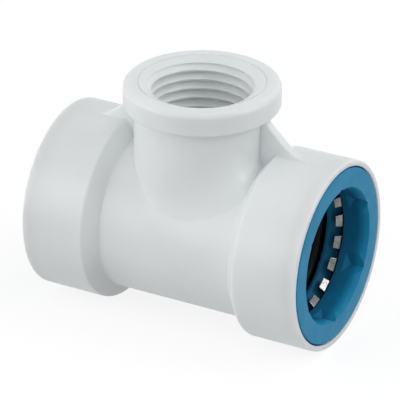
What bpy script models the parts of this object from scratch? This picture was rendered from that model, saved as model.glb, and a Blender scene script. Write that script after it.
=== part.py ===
"""Push-fit pipe tee.

A moulded run with a push-in pipe socket at each end and a threaded branch on top.
Each socket holds, from its mouth inwards, a release collar, a retaining clip,
a toothed grab ring, a spacer ring and an O-ring. The run lies along X and the
branch stands along Z. The origin is on the ground under the branch.
"""

import math

import bmesh
import bpy
from mathutils import Matrix

MM = 0.001

# Pipe and thread that the fitting takes
PIPE_RADIUS = 11.94 * MM
THREAD_PITCH = 1.814 * MM
THREAD_CREST_RADIUS = 9.2 * MM
THREAD_LENGTH = 14.5 * MM
THREAD_TAPER = 1 / 32
THREAD_HEIGHT_PER_PITCH = 0.75
FLANK_ANGLE = math.radians(30)

# Room between neighbouring pieces, and how far one shape reaches into another
CLEARANCE = 0.3 * MM
BITE = 1.0 * MM
OVERCUT = 2.0 * MM

# Moulded body
RUN_LENGTH = 56.8 * MM
SOCKET_LENGTH = 12.55 * MM
PIPE_STOP_DEPTH = 20.0 * MM
PIPE_SOCKET_PLAY = 0.26 * MM
WATERWAY_RADIUS = 10.0 * MM
BARREL_WALL = 3.08 * MM
LIP_WALL = 0.6 * MM
RIM_ROUND = 0.25 * MM
BRANCH_HEIGHT = 29.1 * MM
BRANCH_BORE_RADIUS = 8.0 * MM
NECK_WALL = 2.04 * MM
FLANGE_OVERHANG = 1.97 * MM
FLANGE_THICKNESS = 4.75 * MM
FLANGE_ROUND = 0.5 * MM
MOUTH_COUNTERSINK = 1.34 * MM
MOUTH_SLOPE = 0.5
RIB_THICKNESS = 1.8 * MM
RIB_LANDING = 3.8 * MM

# Release collar
RELEASE_TRAVEL = 1.0 * MM
RELEASE_BORE_PLAY = 0.51 * MM
LEAD_IN_WIDTH = 0.55 * MM
LEAD_IN_DEPTH = 1.15 * MM
RELEASE_EDGE = 0.15 * MM
SLEEVE_WALL = 1.75 * MM
SLEEVE_DEPTH = 5.1 * MM
NOSE_LENGTH = 1.2 * MM
NOSE_WALL = 0.4 * MM
COLLAR_OVERHANG = 2.45 * MM
COLLAR_THICKNESS = 1.8 * MM
BEAD_DEPTH = 0.85 * MM
BEAD_WIDTH = 0.5 * MM
BEAD_HEIGHT = 0.45 * MM
NOTCH_COUNT = 6
NOTCH_DEPTH = 2.6 * MM
NOTCH_FLOOR_SLOPE = 1.4
NOTCH_REACH = 0.85 * MM
NOTCH_HALF_WIDTH = 2.0 * MM
NOTCH_PHASE = math.radians(-3.8)

# Retaining clip and the land that holds it
CLIP_LAND = 1.0 * MM
CLIP_THICKNESS = 0.7 * MM
CLIP_WIDTH = 2.1 * MM
CLIP_GAP = 5.0 * MM

# Grab ring
GRAB_THICKNESS = 0.5 * MM
GRAB_RIM_WIDTH = 1.1 * MM
GRAB_OVERLAP = 0.7 * MM
TOOTH_COUNT = 18
TOOTH_BITE = 0.24 * MM
TOOTH_REACH = 0.95 * MM
TOOTH_LEAN = math.radians(45)
TOOTH_SLOT = 1.9 * MM
TOOTH_PHASE = math.radians(11.6)

# Spacer ring and O-ring
SPACER_LENGTH = 2.3 * MM
SPACER_LAND = 0.6 * MM
SPACER_PLAY = 0.31 * MM
O_RING_SECTION = 3.53 * MM
O_RING_SQUEEZE = 0.5 * MM

# Facets
TURN_STEPS = 40
THREAD_STEPS = 24
O_RING_STEPS = 10
ROUND_STEPS = 4
SHARP_ANGLE = math.radians(30)
MERGE = 0.00001

# Radii in a socket, from the pipe outwards
PIPE_SOCKET_RADIUS = PIPE_RADIUS + PIPE_SOCKET_PLAY
BARREL_RADIUS = PIPE_SOCKET_RADIUS + BARREL_WALL
RELEASE_BORE_RADIUS = PIPE_RADIUS + RELEASE_BORE_PLAY
SLEEVE_RADIUS = RELEASE_BORE_RADIUS + SLEEVE_WALL
COLLAR_RADIUS = SLEEVE_RADIUS + COLLAR_OVERHANG
BEAD_RADIUS = COLLAR_RADIUS + BEAD_HEIGHT
LIP_RADIUS = COLLAR_RADIUS + CLEARANCE
GROOVE_RADIUS = BEAD_RADIUS + CLEARANCE
SOCKET_RADIUS = GROOVE_RADIUS + LIP_WALL
CLIP_INNER_RADIUS = SLEEVE_RADIUS + CLEARANCE
CLIP_OUTER_RADIUS = CLIP_INNER_RADIUS + CLIP_WIDTH
GRAB_RADIUS = CLIP_INNER_RADIUS + GRAB_OVERLAP
SEAT_RADIUS = GRAB_RADIUS + CLEARANCE
SPACER_BORE_RADIUS = PIPE_RADIUS + SPACER_PLAY
O_RING_INNER_RADIUS = PIPE_RADIUS - O_RING_SQUEEZE
GLAND_RADIUS = O_RING_INNER_RADIUS + O_RING_SECTION + CLEARANCE

# Depths in a socket, from the rim inwards
GROOVE_TOP = BEAD_DEPTH - CLEARANCE
GROOVE_END = BEAD_DEPTH + BEAD_WIDTH + RELEASE_TRAVEL + CLEARANCE
POCKET_END = COLLAR_THICKNESS + RELEASE_TRAVEL + CLEARANCE
CLIP_GROOVE_TOP = POCKET_END + CLIP_LAND
CLIP_TOP = CLIP_GROOVE_TOP + CLEARANCE
CLIP_END = CLIP_TOP + CLIP_THICKNESS
CLIP_GROOVE_END = CLIP_END + CLEARANCE
GRAB_TOP = CLIP_GROOVE_END
GRAB_END = GRAB_TOP + GRAB_THICKNESS
SPACER_TOP = GRAB_END + CLEARANCE
SPACER_END = SPACER_TOP + SPACER_LENGTH
SEAT_FLOOR = SPACER_END + CLEARANCE
O_RING_TOP = SEAT_FLOOR + CLEARANCE
GLAND_END = O_RING_TOP + O_RING_SECTION + CLEARANCE

# Branch
THREAD_HEIGHT = THREAD_HEIGHT_PER_PITCH * THREAD_PITCH
THREAD_ROOT_RADIUS = THREAD_CREST_RADIUS + THREAD_HEIGHT
NECK_RADIUS = THREAD_ROOT_RADIUS + NECK_WALL
FLANGE_RADIUS = NECK_RADIUS + FLANGE_OVERHANG
FLANGE_UNDERSIDE = BRANCH_HEIGHT - FLANGE_THICKNESS
MOUTH_RADIUS = THREAD_ROOT_RADIUS + MOUTH_COUNTERSINK

RUN_AXIS_HEIGHT = SOCKET_RADIUS
HALF_RUN = RUN_LENGTH / 2


def clear_scene():
    """Remove every object of the scene that the script starts in."""
    for obj in list(bpy.data.objects):
        bpy.data.objects.remove(obj, do_unlink=True)


def new_collection(name):
    """Make a collection in the scene."""
    collection = bpy.data.collections.new(name)
    bpy.context.scene.collection.children.link(collection)
    return collection


def new_material(name, colour, roughness, metallic):
    """Make a plain finish."""
    material = bpy.data.materials.new(name)
    material.use_nodes = True
    shader = material.node_tree.nodes["Principled BSDF"]
    shader.inputs["Base Color"].default_value = (*colour, 1.0)
    shader.inputs["Roughness"].default_value = roughness
    shader.inputs["Metallic"].default_value = metallic
    return material


def arc(centre, radius, start, end):
    """Points of an arc in the (radius, height) plane, with angles in degrees."""
    angles = [math.radians(start + (end - start) * i / ROUND_STEPS) for i in range(ROUND_STEPS + 1)]
    return [(centre[0] + radius * math.cos(a), centre[1] + radius * math.sin(a)) for a in angles]


def both_ends(upper):
    """Continue an outline of the run's +X half with its mirror image."""
    return upper + [(radius, -height) for radius, height in reversed(upper)]


def add_object(name, mesh, collection):
    """Put a mesh into a collection as a named object."""
    obj = bpy.data.objects.new(name, mesh)
    collection.objects.link(obj)
    return obj


def turned(name, outline, collection, closed, steps=TURN_STEPS):
    """Turn an outline of (radius, height) points about the object's own Z axis."""
    count = len(outline)
    edges = [(i, i + 1) for i in range(count - 1)]
    if closed:
        edges.append((count - 1, 0))
    mesh = bpy.data.meshes.new(name)
    mesh.from_pydata([(radius, 0.0, height) for radius, height in outline], edges, [])
    obj = add_object(name, mesh, collection)
    screw = obj.modifiers.new("turn", "SCREW")
    screw.axis = "Z"
    screw.steps = steps
    screw.render_steps = steps
    screw.use_merge_vertices = True
    screw.merge_threshold = MERGE
    return obj


def evaluated_mesh(obj):
    """Return the mesh of an object with its modifiers applied and its doubles merged."""
    bpy.context.view_layer.update()
    mesh = bpy.data.meshes.new_from_object(obj.evaluated_get(bpy.context.evaluated_depsgraph_get()))
    bm = bmesh.new()
    bm.from_mesh(mesh)
    bmesh.ops.remove_doubles(bm, verts=bm.verts, dist=MERGE)
    bm.to_mesh(mesh)
    bm.free()
    return mesh


def settle(obj, material):
    """Apply an object's modifiers, shade it smooth between sharp edges and give it its finish."""
    obj.data = evaluated_mesh(obj)
    obj.modifiers.clear()
    obj.data.materials.clear()
    obj.data.materials.append(material)
    obj.data.shade_smooth()
    obj.data.set_sharp_from_angle(angle=SHARP_ANGLE)
    return obj


def plate_mesh(name, outline, thickness):
    """Return a flat plate: a closed outline in the XY plane, extruded equally up and down."""
    curve = bpy.data.curves.new(name, "CURVE")
    curve.dimensions = "2D"
    curve.fill_mode = "BOTH"
    curve.extrude = thickness / 2
    spline = curve.splines.new("POLY")
    spline.points.add(len(outline) - 1)
    for point, (x, y) in zip(spline.points, outline):
        point.co = (x, y, 0.0, 1.0)
    spline.use_cyclic_u = True
    holder = add_object(name, curve, bpy.context.scene.collection)
    mesh = evaluated_mesh(holder)
    bpy.data.objects.remove(holder)
    bpy.data.curves.remove(curve)
    return mesh


def crown(name, mesh, count, phase, collection):
    """Make one cutter of equally spaced copies of a mesh about the Z axis."""
    bm = bmesh.new()
    for i in range(count):
        before = len(bm.verts)
        bm.from_mesh(mesh)
        bm.verts.ensure_lookup_table()
        turn = Matrix.Rotation(phase + 2 * math.pi * i / count, 3, "Z")
        bmesh.ops.rotate(bm, verts=bm.verts[before:], matrix=turn)
    cutter_mesh = bpy.data.meshes.new(name)
    bm.to_mesh(cutter_mesh)
    bm.free()
    return as_cutter(add_object(name, cutter_mesh, collection))


def as_cutter(obj):
    """Hide a shape that only cuts or joins."""
    obj.hide_render = True
    obj.display_type = "WIRE"
    return obj


def combine(obj, other, operation):
    """Add a Boolean with another object."""
    boolean = obj.modifiers.new(other.name, "BOOLEAN")
    boolean.operation = operation
    boolean.solver = "EXACT"
    boolean.object = other


def run_outline():
    """Outside of the run: a socket at each end and a quarter-round step down to the barrel."""
    step = SOCKET_RADIUS - BARREL_RADIUS
    rim_centre = (SOCKET_RADIUS - RIM_ROUND, HALF_RUN - RIM_ROUND)
    step_centre = (BARREL_RADIUS, HALF_RUN - SOCKET_LENGTH)
    rim = arc(rim_centre, RIM_ROUND, 90, 0)
    return both_ends([(0.0, HALF_RUN)] + rim + arc(step_centre, step, 0, -90))


def run_cavity_outline():
    """Inside of the run: lip, bead groove, pocket, clip groove, seat, gland, pipe socket, waterway."""
    depths = [
        (LIP_RADIUS, -OVERCUT, GROOVE_TOP),
        (GROOVE_RADIUS, GROOVE_TOP, GROOVE_END),
        (LIP_RADIUS, GROOVE_END, POCKET_END),
        (SEAT_RADIUS, POCKET_END, CLIP_GROOVE_TOP),
        (CLIP_OUTER_RADIUS + CLEARANCE, CLIP_GROOVE_TOP, CLIP_GROOVE_END),
        (SEAT_RADIUS, CLIP_GROOVE_END, SEAT_FLOOR),
        (GLAND_RADIUS, SEAT_FLOOR, GLAND_END),
        (PIPE_SOCKET_RADIUS, GLAND_END, PIPE_STOP_DEPTH),
    ]
    upper = [(0.0, HALF_RUN + OVERCUT)]
    for radius, top, end in depths:
        upper += [(radius, HALF_RUN - top), (radius, HALF_RUN - end)]
    return both_ends(upper + [(WATERWAY_RADIUS, HALF_RUN - PIPE_STOP_DEPTH)])


def branch_outline():
    """Outside of the branch, from the flange's top face down to the run's axis."""
    rim = FLANGE_RADIUS - FLANGE_ROUND
    top = arc((rim, BRANCH_HEIGHT - FLANGE_ROUND), FLANGE_ROUND, 90, 0)
    under = arc((rim, FLANGE_UNDERSIDE + FLANGE_ROUND), FLANGE_ROUND, 0, -90)
    neck = [(NECK_RADIUS, FLANGE_UNDERSIDE), (NECK_RADIUS, 0.0), (0.0, 0.0)]
    return [(0.0, BRANCH_HEIGHT)] + top + under + neck


def branch_cavity_outline():
    """Countersunk mouth and plain bore of the branch, down to the run's axis."""
    cone_depth = MOUTH_SLOPE * (MOUTH_RADIUS - BRANCH_BORE_RADIUS)
    return [
        (0.0, BRANCH_HEIGHT + OVERCUT),
        (MOUTH_RADIUS + OVERCUT / MOUTH_SLOPE, BRANCH_HEIGHT + OVERCUT),
        (BRANCH_BORE_RADIUS, BRANCH_HEIGHT - cone_depth),
        (BRANCH_BORE_RADIUS, 0.0),
        (0.0, 0.0),
    ]


def rib_outline():
    """Side view of both gusset ribs: a 45-degree edge from the flange's underside to the socket's top."""
    landing = HALF_RUN - SOCKET_LENGTH + RIB_LANDING
    top_height = FLANGE_UNDERSIDE + FLANGE_ROUND
    top = (landing + SOCKET_RADIUS - top_height, top_height)
    foot = (landing + BITE, SOCKET_RADIUS - BITE)
    base = (foot[0], BARREL_RADIUS - BITE)
    right = [top, foot, base]
    return right + [(-x, z) for x, z in reversed(right)]


def thread_cutter(collection):
    """Tapered screw thread of the branch, with the run's axis as its foot."""
    flank = THREAD_HEIGHT * math.tan(FLANK_ANGLE)
    flat = THREAD_PITCH / 2 - flank
    outline = [
        (THREAD_CREST_RADIUS, THREAD_PITCH),
        (THREAD_CREST_RADIUS, THREAD_PITCH - flat),
        (THREAD_ROOT_RADIUS, THREAD_PITCH - flat - flank),
        (THREAD_ROOT_RADIUS, flank),
        (THREAD_CREST_RADIUS, 0.0),
    ]
    turns = math.ceil(THREAD_LENGTH / THREAD_PITCH) + 2
    obj = turned("branch_thread_cutter", outline, collection, closed=False, steps=THREAD_STEPS)
    screw = obj.modifiers["turn"]
    screw.screw_offset = THREAD_PITCH
    screw.iterations = turns
    mesh = evaluated_mesh(obj)
    obj.modifiers.clear()
    obj.data = mesh
    bm = bmesh.new()
    bm.from_mesh(mesh)
    foot = BRANCH_HEIGHT - THREAD_LENGTH
    bmesh.ops.translate(bm, verts=bm.verts, vec=(0.0, 0.0, foot - THREAD_PITCH))
    for vert in bm.verts:
        radius = math.hypot(vert.co.x, vert.co.y)
        tapered = radius + (vert.co.z - BRANCH_HEIGHT) * THREAD_TAPER
        vert.co.x *= tapered / radius
        vert.co.y *= tapered / radius
    for height, outward in ((foot, -1.0), (BRANCH_HEIGHT + THREAD_PITCH / 2, 1.0)):
        everything = bm.verts[:] + bm.edges[:] + bm.faces[:]
        bmesh.ops.bisect_plane(
            bm, geom=everything, dist=MERGE, plane_co=(0.0, 0.0, height),
            plane_no=(0.0, 0.0, outward), clear_outer=True)
        rim = [edge for edge in bm.edges if edge.is_boundary and abs(edge.verts[0].co.z - height) < MERGE]
        bmesh.ops.contextual_create(bm, geom=rim)
    bmesh.ops.recalc_face_normals(bm, faces=bm.faces)
    bm.to_mesh(mesh)
    bm.free()
    return as_cutter(obj)


def tee_body(parts, cutters, material):
    """White moulding: run, branch and ribs joined, then hollowed."""
    body = turned("tee_body", run_outline(), parts, closed=False)
    run_cavity = as_cutter(turned("run_cavity", run_cavity_outline(), cutters, closed=False))
    branch = as_cutter(turned("branch_outside", branch_outline(), cutters, closed=False))
    branch_cavity = as_cutter(turned("branch_cavity", branch_cavity_outline(), cutters, closed=False))
    thread = thread_cutter(cutters)
    rib_mesh = plate_mesh("gusset_ribs", rib_outline(), RIB_THICKNESS)
    ribs = as_cutter(add_object("gusset_ribs", rib_mesh, cutters))
    for obj in (body, run_cavity, branch, branch_cavity, thread, ribs):
        obj.location.z = RUN_AXIS_HEIGHT
    for obj in (body, run_cavity):
        obj.rotation_euler.y = math.pi / 2
    ribs.rotation_euler.x = math.pi / 2
    combine(body, branch, "UNION")
    combine(body, ribs, "UNION")
    for cavity in (run_cavity, branch_cavity, thread):
        combine(body, cavity, "DIFFERENCE")
    return settle(body, material)


def notch_wedge():
    """Cutter for one V-notch: a triangle pointing outwards, with a floor that drops towards the bore."""
    apex = RELEASE_BORE_RADIUS + NOTCH_REACH
    inner = RELEASE_BORE_RADIUS - BITE
    half_width = NOTCH_HALF_WIDTH * (apex - inner) / NOTCH_REACH
    wedge = plate_mesh("notch", [(apex, 0.0), (inner, half_width), (inner, -half_width)], 2 * NOTCH_DEPTH)
    for vert in wedge.vertices:
        if vert.co.z < 0.0:
            vert.co.z -= NOTCH_FLOOR_SLOPE * (apex - vert.co.x)
    return wedge


def release_collar(name, parts, cutters, material):
    """Blue push-in collar: flange with a snap bead, sleeve with a coned nose, six V-notches."""
    outline = [
        (COLLAR_RADIUS - RELEASE_EDGE, 0.0),
        (COLLAR_RADIUS, -RELEASE_EDGE),
        (COLLAR_RADIUS, -BEAD_DEPTH),
        (BEAD_RADIUS, -BEAD_DEPTH),
        (BEAD_RADIUS, -BEAD_DEPTH - BEAD_WIDTH / 2),
        (COLLAR_RADIUS, -BEAD_DEPTH - BEAD_WIDTH),
        (COLLAR_RADIUS, -COLLAR_THICKNESS),
        (SLEEVE_RADIUS, -COLLAR_THICKNESS),
        (SLEEVE_RADIUS, NOSE_LENGTH - SLEEVE_DEPTH),
        (RELEASE_BORE_RADIUS + NOSE_WALL, -SLEEVE_DEPTH),
        (RELEASE_BORE_RADIUS, -SLEEVE_DEPTH),
        (RELEASE_BORE_RADIUS, -LEAD_IN_DEPTH),
        (RELEASE_BORE_RADIUS + LEAD_IN_WIDTH, 0.0),
    ]
    collar = turned(name, outline, parts, closed=True)
    combine(collar, crown(name + "_notches", notch_wedge(), NOTCH_COUNT, NOTCH_PHASE, cutters), "DIFFERENCE")
    return settle(collar, material)


def retaining_clip(name, parts, cutters, material):
    """Split spring ring with a rectangular section."""
    outline = [
        (CLIP_OUTER_RADIUS, -CLIP_TOP),
        (CLIP_OUTER_RADIUS, -CLIP_END),
        (CLIP_INNER_RADIUS, -CLIP_END),
        (CLIP_INNER_RADIUS, -CLIP_TOP),
    ]
    clip = turned(name, outline, parts, closed=True)
    near = CLIP_INNER_RADIUS - BITE
    far = CLIP_OUTER_RADIUS + BITE
    half_gap = CLIP_GAP / 2
    window = [(near, -half_gap), (far, -half_gap), (far, half_gap), (near, half_gap)]
    slot = plate_mesh("clip_gap", window, 2 * (CLIP_END + BITE))
    combine(clip, crown(name + "_gap", slot, 1, 0.0, cutters), "DIFFERENCE")
    return settle(clip, material)


def grab_ring(name, parts, cutters, material):
    """Stamped steel ring: a flat rim with slots, and tooth ends that are bent into the socket."""
    tip_radius = PIPE_RADIUS - TOOTH_BITE
    tip_depth = GRAB_TOP + TOOTH_REACH * math.tan(TOOTH_LEAN)
    bend_radius = tip_radius + TOOTH_REACH
    root_radius = GRAB_RADIUS - GRAB_RIM_WIDTH
    outline = [
        (GRAB_RADIUS, -GRAB_TOP),
        (GRAB_RADIUS, -GRAB_END),
        (bend_radius + GRAB_THICKNESS * math.tan(TOOTH_LEAN / 2), -GRAB_END),
        (tip_radius + GRAB_THICKNESS * math.sin(TOOTH_LEAN), -tip_depth - GRAB_THICKNESS * math.cos(TOOTH_LEAN)),
        (tip_radius, -tip_depth),
        (bend_radius, -GRAB_TOP),
    ]
    ring = turned(name, outline, parts, closed=True)
    half_slot = TOOTH_SLOT / 2
    slot_end = arc((root_radius - half_slot, 0.0), half_slot, -90, 90)
    inner = tip_radius - BITE
    slot = plate_mesh("tooth_slot", [(inner, -half_slot), *slot_end, (inner, half_slot)],
                      2 * (tip_depth + GRAB_THICKNESS + BITE))
    phase = TOOTH_PHASE + math.pi / TOOTH_COUNT
    combine(ring, crown(name + "_slots", slot, TOOTH_COUNT, phase, cutters), "DIFFERENCE")
    return settle(ring, material)


def spacer_ring(name, parts, cutters, material):
    """Blue ring that keeps the teeth off the seal, with a coned front that the teeth lean into."""
    cone_radius = GRAB_RADIUS - GRAB_RIM_WIDTH
    outline = [
        (GRAB_RADIUS, -SPACER_TOP),
        (GRAB_RADIUS, -SPACER_END),
        (SPACER_BORE_RADIUS, -SPACER_END),
        (SPACER_BORE_RADIUS, SPACER_LAND - SPACER_END),
        (cone_radius, -SPACER_TOP),
    ]
    return settle(turned(name, outline, parts, closed=True), material)


def o_ring(name, parts, cutters, material):
    """Rubber ring of round section."""
    section = O_RING_SECTION / 2
    centre_radius = O_RING_INNER_RADIUS + section
    centre_height = -O_RING_TOP - section
    angles = [-2 * math.pi * i / O_RING_STEPS for i in range(O_RING_STEPS)]
    outline = [(centre_radius + section * math.cos(a), centre_height + section * math.sin(a)) for a in angles]
    return settle(turned(name, outline, parts, closed=True), material)


def main():
    """Build the tee: the body, then the five rings of each socket in that socket's own frame."""
    clear_scene()
    parts = new_collection("push_fit_tee")
    cutters = new_collection("push_fit_tee_cutters")
    white = new_material("white_moulding", (0.78, 0.81, 0.81), 0.35, 0.0)
    blue = new_material("blue_moulding", (0.05, 0.24, 0.43), 0.4, 0.0)
    steel = new_material("stainless_steel", (0.62, 0.62, 0.6), 0.3, 1.0)
    rubber = new_material("black_rubber", (0.012, 0.012, 0.013), 0.45, 0.0)
    tee_body(parts, cutters, white)
    rings = (
        ("release_collar", release_collar, blue),
        ("retaining_clip", retaining_clip, steel),
        ("grab_ring", grab_ring, steel),
        ("spacer_ring", spacer_ring, blue),
        ("o_ring", o_ring, rubber),
    )
    for side, direction in (("left", -1), ("right", 1)):
        mouth = add_object("socket_mouth_" + side, None, parts)
        mouth.location = (direction * HALF_RUN, 0.0, RUN_AXIS_HEIGHT)
        mouth.rotation_euler.y = direction * math.pi / 2
        for label, make, material in rings:
            make(f"{label}_{side}", parts, cutters, material).parent = mouth


main()
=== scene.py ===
"""Push-fit pipe tee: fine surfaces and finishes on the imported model, on a plain studio stage."""

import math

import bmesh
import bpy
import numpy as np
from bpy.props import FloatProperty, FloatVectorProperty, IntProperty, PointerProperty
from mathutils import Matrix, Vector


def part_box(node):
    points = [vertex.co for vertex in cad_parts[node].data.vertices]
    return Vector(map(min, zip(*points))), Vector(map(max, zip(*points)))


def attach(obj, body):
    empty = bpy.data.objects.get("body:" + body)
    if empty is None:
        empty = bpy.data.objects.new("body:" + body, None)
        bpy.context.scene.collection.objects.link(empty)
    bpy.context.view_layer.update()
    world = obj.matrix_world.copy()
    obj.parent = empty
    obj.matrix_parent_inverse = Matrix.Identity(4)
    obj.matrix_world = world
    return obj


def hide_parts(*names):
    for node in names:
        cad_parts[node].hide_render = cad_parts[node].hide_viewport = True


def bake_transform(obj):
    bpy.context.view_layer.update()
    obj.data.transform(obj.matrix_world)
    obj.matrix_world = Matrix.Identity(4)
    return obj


bl_info = {
    "name": "Push-fit pipe tee",
    "version": (1, 0, 0),
    "blender": (4, 5, 0),
    "location": "View3D > Sidebar > Pipe Tee",
    "description": "Builds the moulded body and the socket rings of a push-fit pipe tee",
    "category": "Add Mesh",
}

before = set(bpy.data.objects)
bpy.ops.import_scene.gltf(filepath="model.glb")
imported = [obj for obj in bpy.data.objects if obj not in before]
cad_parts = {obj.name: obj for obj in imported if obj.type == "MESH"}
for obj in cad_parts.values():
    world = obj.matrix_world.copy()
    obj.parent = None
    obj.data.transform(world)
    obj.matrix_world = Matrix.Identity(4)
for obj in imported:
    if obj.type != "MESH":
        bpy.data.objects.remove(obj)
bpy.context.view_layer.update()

MM = 0.001
WELD = 0.000002
SIDES = {"left": -1.0, "right": 1.0}

# Fineness of the meshes: points round an axis, and the longest stretch of a straight line
BODY_STEPS = 176
RING_STEPS = 144
RUN_SPACING = 1.2 * MM
BRANCH_SPACING = 0.8 * MM

# How far one solid reaches into the next before they are joined, or out of it before it is cut
OVERLAP = 1.0 * MM
TOOTH_OVERLAP = 0.1 * MM

# Edges sharper than this, in degrees, stay sharp in the shading
BODY_SHARP = 30
RING_SHARP = 40
RUBBER_SHARP = 60

# Stage: lengths in metres unless named otherwise, and shares of light
LAMP_DISTANCE = 1.2
FLOOR_HALF_WIDTH = 3.0
SEEN_FLOOR_GREY = 0.2
SEEN_FLOOR_GLOW = 0.84
SENSOR_WIDTH_MM = 36.0

BODY_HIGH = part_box("tee_body")[1]
HALF_RUN = BODY_HIGH[0]
SOCKET_RADIUS = BODY_HIGH[1]
AXIS_HEIGHT = SOCKET_RADIUS
BRANCH_TOP = BODY_HIGH[2] - AXIS_HEIGHT


def depth_span(node):
    """Return how deep a socket ring starts and ends below the rim, and its outer radius."""
    low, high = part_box(node)
    return HALF_RUN - high[0], HALF_RUN - low[0], high[1]


COLLAR_SPAN = depth_span("release_collar_right")
CLIP_SPAN = depth_span("retaining_clip_right")
GRAB_SPAN = depth_span("grab_ring_right")
SPACER_SPAN = depth_span("spacer_ring_right")
O_RING_SPAN = depth_span("o_ring_right")


def length(label, text, metres):
    """A length that a user can change."""
    return FloatProperty(
        name=label, description=text, default=metres, min=0.0, unit="LENGTH", precision=5)


def offset(label, text, metres):
    """A length with a sign that a user can change."""
    return FloatProperty(name=label, description=text, default=metres, unit="LENGTH", precision=5)


def colour(label, text, value):
    """A linear colour that a user can change."""
    return FloatVectorProperty(
        name=label, description=text, default=value, min=0.0, max=1.0, size=3, subtype="COLOR")


def angle(label, text, degrees):
    """An angle that a user can change."""
    return FloatProperty(name=label, description=text, default=math.radians(degrees), subtype="ANGLE")


def level(label, text, value):
    """A plain number that a user can change."""
    return FloatProperty(name=label, description=text, default=value, min=0.0)


class TeeBodySizes(bpy.types.PropertyGroup):
    """Sizes of the moulded body."""

    socket_length: length("Socket length", "Straight part of a socket's outside", 12.3 * MM)
    barrel_radius: length("Barrel radius", "Outside of the run between the sockets", 15.28 * MM)
    rim_round: length("Rim round", "Rounding of a socket's outer edge", 0.35 * MM)
    lip_round: length("Lip round", "Rounding of a socket's inner edge", 0.14 * MM)
    shoulder_slope: angle("Shoulder slope", "Lean of the cone between socket and barrel", 50)
    shoulder_round: length("Shoulder round", "Rounding between socket and shoulder", 0.6 * MM)
    shoulder_fillet: length("Shoulder fillet", "Hollow between shoulder and barrel", 0.5 * MM)
    flange_radius: length("Flange radius", "Outside of the branch's flange", 14.57 * MM)
    flange_thickness: length("Flange thickness", "Height of the flange's side", 4.75 * MM)
    flange_round: length("Flange round", "Rounding of the flange's upper edge", 1.25 * MM)
    flange_under: length("Flange under round", "Rounding of the flange's lower edge", 0.7 * MM)
    neck_radius: length("Neck radius", "Outside of the branch below its flange", 12.6 * MM)
    neck_fillet: length("Neck fillet", "Hollow between neck and flange", 0.7 * MM)
    foot_front: length("Foot at the front", "Radius of the flare between neck and barrel", 30.0 * MM)
    foot_side: length("Foot at the sides", "Radius of that flare next to the ribs", 1.5 * MM)
    foot_sink: length("Foot sink", "How far the flare dips into the barrel", 0.5 * MM)
    foot_turn: angle("Foot turn", "Turn of the flare's widest place about the branch", 20)
    rib_thickness: length("Rib thickness", "Thickness of the gusset ribs", 1.9 * MM)
    rib_round: length("Rib round", "Rounding of the ribs' edges", 0.5 * MM)
    rib_fillet: length("Rib fillet", "Hollow between the ribs and the sockets", 0.7 * MM)
    rib_merge: length("Rib merge", "How softly a rib's edge levels out on the socket", 1.4 * MM)
    rib_landing: length("Rib landing", "Where a rib's edge meets the socket, from the branch", 19.6 * MM)
    rib_run_out: length("Rib run-out", "How far a rib goes on past its landing", 4.5 * MM)
    rib_sink: length("Rib sink", "How far a rib's edge lies below that soft line", 0.12 * MM)
    rib_least: length("Least rib height", "Least height of a rib over the run", 0.3 * MM)
    mouth_radius: length("Mouth radius", "Countersink of the threaded mouth", 11.9 * MM)
    mouth_slope: level("Mouth slope", "Depth of the countersink for each unit of radius", 0.5)
    mouth_groove: length("Mouth groove", "Width of the fine groove round the mouth", 0.2 * MM)
    thread_pitch: length("Thread pitch", "Rise of the branch thread in a turn", 1.814 * MM)
    thread_crest: length("Thread crest", "Crest radius of the thread at the mouth", 9.35 * MM)
    thread_height: length("Thread height", "From the thread's crest to its root", 0.95 * MM)
    thread_length: length("Thread length", "Depth of the thread", 14.5 * MM)
    thread_taper: level("Thread taper", "Loss of radius for each unit of depth", 1 / 32)
    thread_start: level("Thread start", "Share of a turn that the thread is turned by", 0.475)
    branch_bore: length("Branch bore", "Radius of the branch below its thread", 8.0 * MM)
    waterway: length("Waterway", "Radius of the run between the pipe stops", 10.0 * MM)
    pipe_socket: length("Pipe socket", "Radius that a pipe slides into", 12.2 * MM)
    pipe_stop: length("Pipe stop", "Depth of the stop below the rim", 20.0 * MM)


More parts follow.
